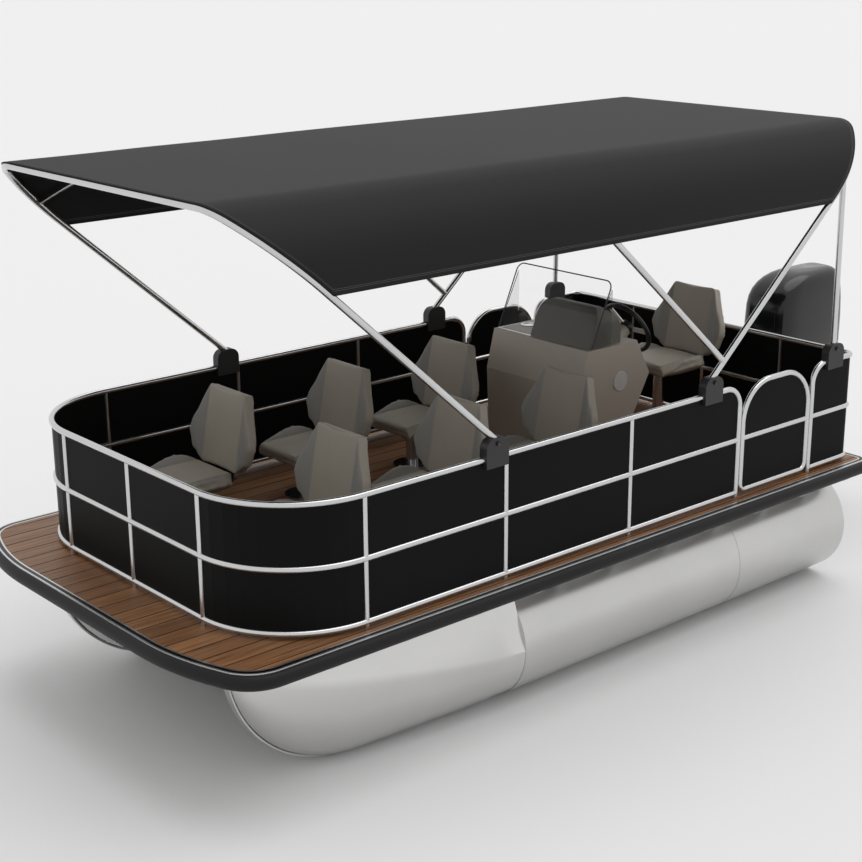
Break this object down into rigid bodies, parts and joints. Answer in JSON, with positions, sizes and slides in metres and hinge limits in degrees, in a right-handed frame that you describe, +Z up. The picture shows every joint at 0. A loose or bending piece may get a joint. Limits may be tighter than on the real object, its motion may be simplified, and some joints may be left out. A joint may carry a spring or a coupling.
{
  "type": "pontoon boat",
  "caption": "Aluminium pontoon boat with panelled fence, gates, planked deck, canopy on bent hoops, swivel seats, helm console and outboard motor",
  "frame": {"origin": "middle of the overall box on the ground under the keel strips", "axes": "+X to the bow, +Y to port, +Z up"},
  "size_m": [5.9899, 2.5678, 2.8495],
  "materials": {
    "pontoon_metal": "mill finish with faint run marks",
    "frame_metal": "mill finish",
    "deck_board": "sealed marine plywood",
    "deck_planks": "oiled planks with dark caulking",
    "rail_metal": "polished anodised tube",
    "bumper_rubber": "satin moulded rubber",
    "panel_black": "satin painted sheet",
    "black_plastic": "fine grained",
    "canopy_fabric": "woven acrylic cloth",
    "pedestal_metal": "brushed",
    "bracket_metal": "satin black",
    "seat_vinyl": "soft grained vinyl",
    "console_shell": "moulded with a soft sheen",
    "smoked_glass": "clear smoked acrylic",
    "motor_metal": "satin dark grey",
    "motor_black": "gloss black"
  },
  "bodies": {
    "hull": {"pontoon_port": "pontoon_metal", "pontoon_starboard": "pontoon_metal", "nose_port": "pontoon_metal", "nose_starboard": "pontoon_metal", "keel_strips": "pontoon_metal", "crossmembers": "frame_metal", "deck_board": "deck_board", "deck_planks": "deck_planks", "deck_edge": "rail_metal", "bumper": "bumper_rubber", "fence_fore": "rail_metal", "fence_fore_panels": "panel_black", "fence_stern": "rail_metal", "fence_stern_panels": "panel_black", "canopy_mounts": "black_plastic", "hoop_front": "rail_metal", "hoop_small": "rail_metal", "hoop_mid": "rail_metal", "hoop_rear": "rail_metal", "canopy_braces": "rail_metal", "canopy": "canopy_fabric", "seat_pedestals": "pedestal_metal", "console": "console_shell", "dash_pod": "console_shell", "windscreen": "smoked_glass", "motor_pod": "pontoon_metal", "motor_clamp": "motor_metal"},
    "gate_port": {"gate_port_frame": "rail_metal", "gate_port_panels": "panel_black"},
    "gate_starboard": {"gate_starboard_frame": "rail_metal", "gate_starboard_panels": "panel_black"},
    "motor_tilting": {"motor_swivel": "motor_metal"},
    "motor_steering": {"motor_leg": "motor_black", "motor_cowl": "motor_black", "motor_gearcase": "motor_black"},
    "prop": {"propeller": "motor_metal"},
    "wheel": {"steering_wheel": "black_plastic"},
    "helm_seat": {"helm_bracket": "bracket_metal", "helm_pads": "seat_vinyl"},
    "seat_1": {"seat_1_bracket": "bracket_metal", "seat_1_pads": "seat_vinyl"},
    "seat_2": {"seat_2_bracket": "bracket_metal", "seat_2_pads": "seat_vinyl"},
    "seat_3": {"seat_3_bracket": "bracket_metal", "seat_3_pads": "seat_vinyl"},
    "seat_4": {"seat_4_bracket": "bracket_metal", "seat_4_pads": "seat_vinyl"},
    "seat_5": {"seat_5_bracket": "bracket_metal", "seat_5_pads": "seat_vinyl"},
    "seat_6": {"seat_6_bracket": "bracket_metal", "seat_6_pads": "seat_vinyl"}
  },
  "joints": [
    {"name": "gate_port_hinge", "type": "hinge", "parent": "hull", "child": "gate_port", "pos_m": [-0.62806, 1.132, 1.16], "axis": [0, 0, 1], "range_deg": [0, 90]},
    {"name": "gate_starboard_hinge", "type": "hinge", "parent": "hull", "child": "gate_starboard", "pos_m": [-0.62806, -1.132, 1.16], "axis": [0, 0, -1], "range_deg": [0, 55]},
    {"name": "motor_tilt", "type": "hinge", "parent": "hull", "child": "motor_tilting", "pos_m": [-2.44, 0, 0.89], "axis": [0, 1, 0], "range_deg": [0, 60]},
    {"name": "motor_steer", "type": "hinge", "parent": "motor_tilting", "child": "motor_steering", "pos_m": [-2.575, 0, 0.73], "axis": [0, 0, 1], "range_deg": [-30, 30]},
    {"name": "propeller_spin", "type": "hinge", "parent": "motor_steering", "child": "prop", "pos_m": [-2.914, 0, 0.182], "axis": [1, 0, 0], "continuous": true},
    {"name": "wheel_turn", "type": "hinge", "parent": "hull", "child": "wheel", "pos_m": [-0.89989, 0.03, 1.561], "axis": [-0.8829, 0, 0.4695], "range_deg": [-540, 540]},
    {"name": "helm_swivel", "type": "hinge", "parent": "hull", "child": "helm_seat", "pos_m": [-1.25504, 0, 1.2], "axis": [0, 0, 1], "range_deg": [-90, 90]},
    {"name": "seat_1_swivel", "type": "hinge", "parent": "hull", "child": "seat_1", "pos_m": [2.00498, -0.54, 1.03], "axis": [0, 0, 1], "continuous": true},
    {"name": "seat_2_swivel", "type": "hinge", "parent": "hull", "child": "seat_2", "pos_m": [2.00498, 0.445, 1.03], "axis": [0, 0, 1], "continuous": true},
    {"name": "seat_3_swivel", "type": "hinge", "parent": "hull", "child": "seat_3", "pos_m": [1.18962, -0.54, 1.03], "axis": [0, 0, 1], "continuous": true},
    {"name": "seat_4_swivel", "type": "hinge", "parent": "hull", "child": "seat_4", "pos_m": [1.18962, 0.445, 1.03], "axis": [0, 0, 1], "continuous": true},
    {"name": "seat_5_swivel", "type": "hinge", "parent": "hull", "child": "seat_5", "pos_m": [0.37426, -0.54, 1.03], "axis": [0, 0, 1], "continuous": true},
    {"name": "seat_6_swivel", "type": "hinge", "parent": "hull", "child": "seat_6", "pos_m": [0.37426, 0.445, 1.03], "axis": [0, 0, 1], "continuous": true}
  ],
  "couplings": [
    {"joint": "wheel_turn", "follows": "motor_steer", "ratio": -18}
  ]
}
